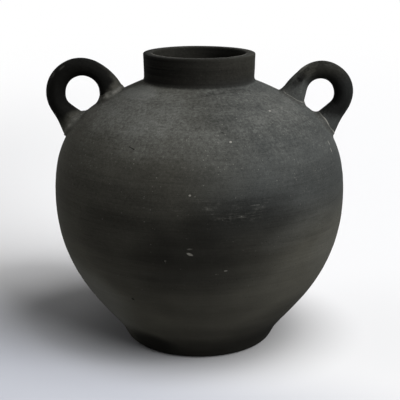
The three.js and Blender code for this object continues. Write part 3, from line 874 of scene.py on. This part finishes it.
def turning_tree(material):
    """A Geometry Nodes tree that turns a profile about Z and leaves the marks of throwing on it."""
    tree = bpy.data.node_groups.new("turned_on_the_wheel", "GeometryNodeTree")

    def add(kind, values=None, **settings):
        return add_node(tree, "GeometryNode" + kind, values, **settings)

    for name, kind in (("Profile", "Geometry"), ("Steps Around", "Int"), ("Throwing Ridges", "Float"),
                       ("Finger Rings", "Float"), ("Ring Pitch", "Float"), ("Seed", "Float")):
        tree.interface.new_socket(name=name, in_out="INPUT", socket_type="NodeSocket" + kind)
    tree.interface.new_socket(name="Body", in_out="OUTPUT", socket_type="NodeSocketGeometry")
    given = add_node(tree, "NodeGroupInput")
    profile, steps = given.out("Profile"), given.out("Steps Around")

    # A sheet with one column for each step around, whose points go to the profile's points, turned
    stations = add("AttributeDomainSize", {0: profile}, component="MESH")
    sheet = add("MeshGrid", {"Vertices X": steps + 1, "Vertices Y": stations})
    index = add("InputIndex")
    column = calculate("FLOOR", (index + 0.5) / stations)
    station = index - column * stations
    inside = add("InputNamedAttribute", {"Name": "inside"}, data_type="FLOAT")
    radius, _, height = add("SampleIndex", {0: profile, "Value": add("InputPosition"), "Index": station},
                            data_type="FLOAT_VECTOR", domain="POINT").parts()
    mask = add("SampleIndex", {0: profile, "Value": inside, "Index": station}, data_type="FLOAT", domain="POINT")
    turn = column / steps * (2 * math.pi)
    turned = add_node(tree, "ShaderNodeCombineXYZ", {
        "X": radius * calculate("COSINE", turn), "Y": radius * calculate("SINE", turn), "Z": height})
    skin = add("StoreNamedAttribute", {"Geometry": sheet, "Name": "inside", "Value": mask},
               data_type="FLOAT", domain="POINT")
    skin = add("SetPosition", {"Geometry": skin, "Position": turned})
    skin = add("MergeByDistance", {"Geometry": skin, "Distance": 0.00002})

    # Wandering ridges outside and a spiral inside, which both end near the axis and where the vase stands
    place = add("InputPosition")
    x, y, z = place.parts()
    around = calculate("ARCTAN2", y, x) / (2 * math.pi)
    spiral = calculate("SINE", (z / given.out("Ring Pitch") - around) * (2 * math.pi))
    offset = add_node(tree, "ShaderNodeCombineXYZ", {"X": given.out("Seed")})
    drawn, swaying = (place.stretched(*waves).vector("ADD", offset) for waves in ((6, 6, 95), (9, 9, 14)))
    ridges = noise(drawn) * 2.2 + noise(swaying, detail=1.0) * 4.0
    depth = (ridges * given.out("Throwing Ridges") * (1 - inside)
             + spiral * given.out("Finger Rings") * inside
             * z.within(0.02, 0.05, RIM_HEIGHT - 0.020, RIM_HEIGHT - 0.002))
    depth = depth * calculate("SQRT", x * x + y * y).rising(0.004, 0.03) * z.rising(0.0002, 0.006)
    skin = add("SetPosition", {"Geometry": skin, "Offset": add("InputNormal").scaled(depth)})
    skin = add("SetShadeSmooth", {0: skin})
    skin = add("RealizeInstances", {0: skin})
    skin = add("SetMaterial", {"Geometry": skin, "Material": material})
    tree.links.new(skin.socket, tree.nodes.new("NodeGroupOutput").inputs[0])
    return tree


def grown(name, base, tree, values):
    """The plain mesh piece that a Geometry Nodes tree makes from a base mesh."""
    holder = placed(name + "_base", base)
    modifier = holder.modifiers.new("form", "NODES")
    modifier.node_group = tree
    for item in tree.interface.items_tree:
        if item.in_out == "INPUT" and item.name in values:
            modifier[item.identifier] = values[item.name]
    graph = bpy.context.evaluated_depsgraph_get()
    mesh = bpy.data.meshes.new_from_object(holder.evaluated_get(graph), preserve_all_data_layers=True,
                                           depsgraph=graph)
    bpy.data.objects.remove(holder)
    mesh.name = name
    return placed(name, mesh)


class VASE_OT_body(Operator):
    """Make the thrown body: foot ring, bowls and neck in one smoothed skin"""
    bl_idname = "vase.body"
    bl_label = "Thrown body"

    def execute(self, context):
        sizes = context.scene.vase_body
        outline, mask = body_profile(sizes)
        base = bpy.data.meshes.new("profile")
        base.from_pydata([(r, 0.0, z) for r, z in outline], [(k, k + 1) for k in range(len(outline) - 1)], [])
        store(base, "inside", mask)
        tree = turning_tree(clay_material("thrown_clay", context.scene.vase_finish, sizes))
        piece = grown("thrown_body", base, tree, {
            "Steps Around": sizes.around, "Throwing Ridges": sizes.throwing, "Finger Rings": sizes.finger_rings,
            "Ring Pitch": sizes.ring_pitch, "Seed": float(sizes.seed),
        })
        facing_out(piece)
        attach(piece, "root")
        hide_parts(*BODY_NODES)
        return {"FINISHED"}


def both_handles(scene):
    return ("left", scene.vase_left_handle), ("right", scene.vase_right_handle)


class VASE_OT_handles(Operator):
    """Make the two pulled loop handles"""
    bl_idname = "vase.handles"
    bl_label = "Loop handles"

    def execute(self, context):
        scene = context.scene
        shoulder = Shoulder(scene.vase_body)
        for side, sizes in both_handles(scene):
            material = clay_material(f"pulled_clay_{side}", scene.vase_finish, pulled=side,
                                     soot=sizes.soot, chalk=sizes.chalk)
            make_handle(side, sizes, shoulder, material)
        return {"FINISHED"}


class VASE_OT_luting(Operator):
    """Make the smeared coils of clay round the four handle roots"""
    bl_idname = "vase.luting"
    bl_label = "Luting coils"

    def execute(self, context):
        scene = context.scene
        shoulder = Shoulder(scene.vase_body)
        material = clay_material("smeared_slip", scene.vase_finish, slip=scene.vase_finish.slip)
        for side, sizes in both_handles(scene):
            for end in ("upper", "lower"):
                make_coil(side, end, sizes, shoulder, material)
        return {"FINISHED"}


# ---- Studio ----

FLOOR_HALF = 14.0                        # half the floor's width
SENSOR = 36.0                            # the camera's sensor, in millimetres
BLACK = (0.0, 0.0, 0.0)
# Each lamp: its name, the setting of its level, the direction in which it shines and its spread in degrees
LAMPS = (
    ("key_from_right", "key", (-0.67, 0.56, -0.51), 44),
    ("high_from_right", "high", (-0.50, 0.22, -0.84), 40),
    ("low_from_left", "fill", (0.97, -0.10, -0.17), 50),
)
# The shade round the foot: its middle, the distance at which it starts, and the one at which it is full
CONTACT_MIDDLE, CONTACT_FADE = (0.0, 0.018, 0.0), (0.185, 0.065)


def soft_sun(name, towards, level, spread):
    """A parallel lamp with soft shadows. Level 1 shows a colour as it is written on a face turned to it."""
    lamp = bpy.data.lights.new(name, "SUN")
    lamp.energy = level * math.pi
    lamp.angle = math.radians(spread)
    placed(name, lamp).rotation_euler = Vector(towards).to_track_quat("-Z", "Y").to_euler()


def seen_directly(tree):
    """1 for rays that show the background: from the camera, off a gloss or through glass."""
    path = add_node(tree, "ShaderNodeLightPath")
    shown = calculate("MAXIMUM", path.out("Is Camera Ray"), path.out("Is Glossy Ray"))
    return calculate("MAXIMUM", shown, path.out("Is Transmission Ray"))


def floor_material(stage):
    """A pale floor that turns into the white background far away. It is dimmer at the front left and on the far
    left, and has a soft shade where the vase stands."""
    material = bpy.data.materials.new("pale_floor")
    tree = emptied_tree(material)
    place = add_node(tree, "ShaderNodeTexCoord", output="Object")
    x, y, _ = place.parts()
    away = place.vector("LENGTH", output="Value")
    shown = seen_directly(tree)
    front_left = (y + x * 0.7).rising(0.02, -0.22) * away.rising(1.4, 0.5)
    far_left = x.rising(-0.08, -0.42) * y.rising(2.2, 0.2) * away.rising(4.0, 1.5)
    round_foot = place.vector("DISTANCE", CONTACT_MIDDLE, "Value").rising(*CONTACT_FADE)
    pale = mixed(tree, front_left, stage.floor, stage.dim_floor).covered(far_left * stage.far_shade, BLACK)
    pale = pale.covered(round_foot * stage.contact, BLACK)
    plain = add_node(tree, "ShaderNodeBsdfDiffuse", {"Color": mixed(tree, shown, stage.bounce, pale)})
    glow = add_node(tree, "ShaderNodeEmission", {"Strength": 1.0})
    show(add_node(tree, "ShaderNodeMixShader", {0: shown * away.rising(0.6, 3.0), 1: plain, 2: glow}),
         "ShaderNodeOutputMaterial")
    return material


def room_world(stage):
    """A world that lights the vase weakly from all round and shows as white."""
    world = bpy.data.worlds.new("room")
    tree = emptied_tree(world)
    weak, bright = (add_node(tree, "ShaderNodeBackground", {"Color": (1.0, 1.0, 1.0, 1.0), "Strength": strength})
                    for strength in (stage.room, 1.0))
    show(add_node(tree, "ShaderNodeMixShader", {0: seen_directly(tree), 1: weak, 2: bright}),
         "ShaderNodeOutputWorld")
    return world


class VASE_OT_stage(Operator):
    """Set up the camera, the pale floor and the soft lamps"""
    bl_idname = "vase.stage"
    bl_label = "Studio"

    def execute(self, context):
        scene, stage = context.scene, context.scene.vase_stage
        corners = [(x * FLOOR_HALF, y * FLOOR_HALF, 0) for x, y in ((-1, -1), (1, -1), (1, 1), (-1, 1))]
        mesh_object("floor", corners, [(0, 1, 2, 3)], floor_material(stage))
        for name, level, towards, spread in LAMPS:
            soft_sun(name, towards, getattr(stage, level), spread)
        scene.world = room_world(stage)
        camera = bpy.data.cameras.new("photo_camera")
        camera.lens, camera.sensor_width, camera.shift_x = stage.focal, SENSOR, stage.shift
        holder = placed("photo_camera", camera)
        holder.location = (0.0, -stage.camera_distance, stage.camera_height)
        holder.rotation_euler = (math.pi / 2 - stage.camera_pitch, 0.0, 0.0)
        scene.camera = holder
        scene.view_settings.view_transform = "Standard"
        return {"FINISHED"}


class VASE_PT_sidebar(Panel):
    """Lists the steps that build the vase"""
    bl_label = "Clay vase"
    bl_idname = "VASE_PT_sidebar"
    bl_space_type = "VIEW_3D"
    bl_region_type = "UI"
    bl_category = "Vase"

    def draw(self, context):
        for step in STEPS:
            self.layout.operator(step.bl_idname)
        for group in PROPERTY_HOLDERS:
            box = self.layout.box()
            settings = getattr(context.scene, group)
            for key in settings.bl_rna.properties.keys():
                if key not in ("rna_type", "name"):
                    box.prop(settings, key)


STEPS = (VASE_OT_body, VASE_OT_handles, VASE_OT_luting, VASE_OT_stage)
PROPERTY_HOLDERS = {
    "vase_body": BodySizes,
    "vase_left_handle": LeftHandleSizes,
    "vase_right_handle": RightHandleSizes,
    "vase_finish": FinishSettings,
    "vase_stage": StageSettings,
}


def register():
    for group in (*PROPERTY_HOLDERS.values(), *STEPS, VASE_PT_sidebar):
        bpy.utils.register_class(group)
    for key, group in PROPERTY_HOLDERS.items():
        setattr(bpy.types.Scene, key, PointerProperty(type=group))


def unregister():
    for key in PROPERTY_HOLDERS:
        delattr(bpy.types.Scene, key)
    for group in (VASE_PT_sidebar, *reversed(STEPS), *reversed(PROPERTY_HOLDERS.values())):
        bpy.utils.unregister_class(group)


def main():
    register()
    bpy.ops.vase.body()
    bpy.ops.vase.handles()
    bpy.ops.vase.luting()
    bpy.ops.vase.stage()


if __name__ == "__main__":
    main()
